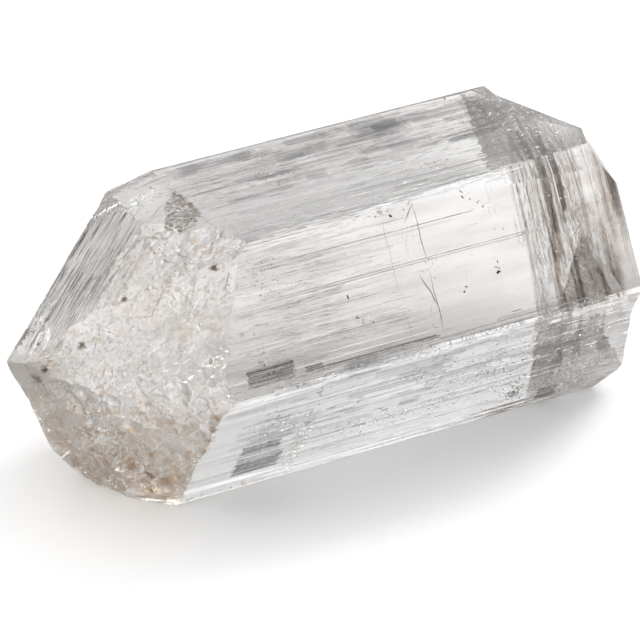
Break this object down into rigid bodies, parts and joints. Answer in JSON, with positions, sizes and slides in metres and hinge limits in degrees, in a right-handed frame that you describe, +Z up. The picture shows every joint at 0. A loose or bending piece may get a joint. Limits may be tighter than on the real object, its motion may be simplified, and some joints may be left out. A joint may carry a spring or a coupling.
{
  "type": "goshenite crystal",
  "caption": "Natural clear beryl crystal: a long hexagonal prism with a frosted, fractured point and a flat far end, lying on a prism face as a display specimen.",
  "frame": {"origin": "middle of the underside of the overall box, on the surface that the crystal rests on", "axes": "+X along the crystal's long axis towards its flat end, +Y across it, +Z up from the prism face it lies on"},
  "size_m": [0.0482, 0.0252, 0.0218],
  "materials": {
    "clear_beryl": "see-through colourless beryl: glossy striated prism faces, a frosted and fractured point stained tan",
    "sealed_fractures": "healed cracks, bubble veils and growth tubes sealed in the crystal: bright or grey films and threads",
    "iron_stain": "dull rust-brown mineral specks and stained films"
  },
  "bodies": {
    "root": {"crystal": "clear_beryl"}
  },
  "joints": []
}
